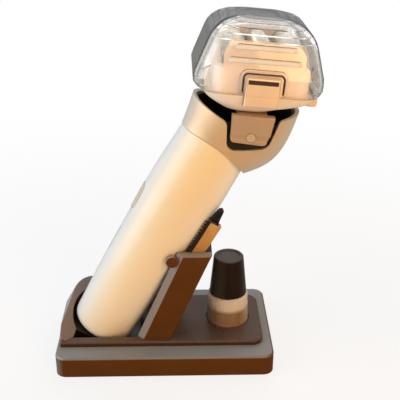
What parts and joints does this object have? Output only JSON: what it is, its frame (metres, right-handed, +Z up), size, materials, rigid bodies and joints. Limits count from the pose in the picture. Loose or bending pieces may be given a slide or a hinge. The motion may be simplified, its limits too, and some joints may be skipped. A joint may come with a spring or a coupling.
{
  "type": "shaver stand",
  "caption": "Leaning desk stand that holds a cordless foil shaver with a clear head cap, a cleaning brush and a small oil bottle.",
  "frame": {"origin": "middle of the base's underside, where the stand rests on a table", "axes": "+Z up, +X from the shaver's heel to the oil bottle along the base's long side, +Y to the back"},
  "size_m": [0.127, 0.065, 0.1752],
  "materials": {
    "stand_plastic": "fine satin moulding",
    "foot_rubber": "matt",
    "screw_steel": "plated",
    "grip_white": "satin white",
    "satin_metal": "satin anodised",
    "cap_clear": "clear smoke-tinted",
    "button_gold": "satin gold",
    "cassette_gold": "satin gold",
    "foil_steel": "polished foil",
    "blade_steel": "ground",
    "inner_black": "moulded",
    "button_grey": "satin",
    "lens_white": "translucent",
    "contact_brass": "plated",
    "coil_copper": "enamelled wire",
    "magnet_metal": "plated",
    "cell_sleeve": "sleeved",
    "board_green": "coated",
    "bottle_clear": "clear",
    "oil_clear": "liquid",
    "spout_plastic": "moulded",
    "cap_black": "satin black",
    "brush_clear": "clear amber",
    "brush_dark": "moulded",
    "bristle_nylon": "nylon strands"
  },
  "bodies": {
    "stand": {"base_plinth": "stand_plastic", "anti_slip_feet": "foot_rubber", "deck_plate": "stand_plastic", "seat_wedge": "stand_plastic", "heel_cup": "stand_plastic", "cheek_near": "stand_plastic", "cheek_far": "stand_plastic", "spine_plate": "stand_plastic", "backrest_screws": "screw_steel"},
    "shaver": {"grip_shell": "grip_white", "charge_socket": "inner_black", "charge_pins": "contact_brass", "chassis": "inner_black", "battery_cell": "cell_sleeve", "circuit_board": "board_green", "board_spacers": "inner_black", "tact_switch": "inner_black", "indicator_lens": "lens_white", "neck_collar": "satin_metal", "neck_plug": "inner_black", "neck_seal": "foot_rubber", "pivot_pins": "screw_steel"},
    "power_key": {"power_button": "button_grey"},
    "head": {"swivel_yoke": "satin_metal", "head_frame": "satin_metal", "head_deck": "inner_black", "motor_core": "blade_steel", "motor_coil": "coil_copper"},
    "drive": {"drive_plate": "inner_black", "drive_magnet": "magnet_metal", "blade_carriers": "inner_black", "inner_blades": "blade_steel"},
    "cassette": {"foil_frame": "cassette_gold", "outer_foils": "foil_steel", "comb_bar": "foil_steel"},
    "cap": {"protective_cap": "cap_clear"},
    "release_near": {"release_button_near": "button_gold"},
    "release_far": {"release_button_far": "button_gold"},
    "trimmer": {"trimmer_housing": "button_gold", "trimmer_comb": "blade_steel"},
    "cutter": {"trimmer_cutter": "blade_steel"},
    "brush": {"brush_handle": "brush_clear", "brush_strip": "brush_dark", "brush_bristles": "bristle_nylon"},
    "bottle": {"oil_bottle": "bottle_clear", "oil_fill": "oil_clear", "spout_plug": "spout_plastic"},
    "bottle_lid": {"bottle_cap": "cap_black"}
  },
  "joints": [
    {"name": "shaver_lift", "type": "slide", "parent": "stand", "child": "shaver", "axis": [0.5, 0, 0.866], "range_m": [0, 0.09]},
    {"name": "power_press", "type": "slide", "parent": "shaver", "child": "power_key", "axis": [0.866, 0, -0.5], "range_m": [0, 0.0006], "stiffness_N_per_m": 600, "springref_m": -0.0005},
    {"name": "head_tilt", "type": "hinge", "parent": "shaver", "child": "head", "pos_m": [0.04029, 0, 0.12264], "axis": [0, 1, 0], "range_deg": [-8, 8], "stiffness_Nm_per_rad": 0.6},
    {"name": "blade_drive", "type": "slide", "parent": "head", "child": "drive", "axis": [0, 1, 0], "range_m": [-0.0012, 0.0012], "stiffness_N_per_m": 1500},
    {"name": "cassette_lift", "type": "slide", "parent": "head", "child": "cassette", "axis": [0.0872, 0, 0.9962], "range_m": [0, 0.038]},
    {"name": "cap_lift", "type": "slide", "parent": "cassette", "child": "cap", "axis": [0.0872, 0, 0.9962], "range_m": [0, 0.045]},
    {"name": "release_near_press", "type": "slide", "parent": "head", "child": "release_near", "axis": [0, 1, 0], "range_m": [0, 0.0012], "stiffness_N_per_m": 500, "springref_m": -0.0006},
    {"name": "release_far_press", "type": "slide", "parent": "head", "child": "release_far", "axis": [0, -1, 0], "range_m": [0, 0.0012], "stiffness_N_per_m": 500, "springref_m": -0.0006},
    {"name": "trimmer_flip", "type": "hinge", "parent": "head", "child": "trimmer", "pos_m": [0.06652, 0, 0.1367], "axis": [0, 1, 0], "range_deg": [0, 85]},
    {"name": "cutter_slide", "type": "slide", "parent": "trimmer", "child": "cutter", "axis": [0, 1, 0], "range_m": [-0.0009, 0.0009]},
    {"name": "brush_lift", "type": "slide", "parent": "stand", "child": "brush", "axis": [0.5, 0, 0.866], "range_m": [0, 0.016]},
    {"name": "bottle_lift", "type": "slide", "parent": "stand", "child": "bottle", "axis": [0, 0, 1], "range_m": [0, 0.012]},
    {"name": "bottle_lid_lift", "type": "slide", "parent": "bottle", "child": "bottle_lid", "axis": [0, 0, 1], "range_m": [0, 0.012]}
  ],
  "couplings": [
    {"joint": "cutter_slide", "follows": "blade_drive", "ratio": 0.75}
  ]
}
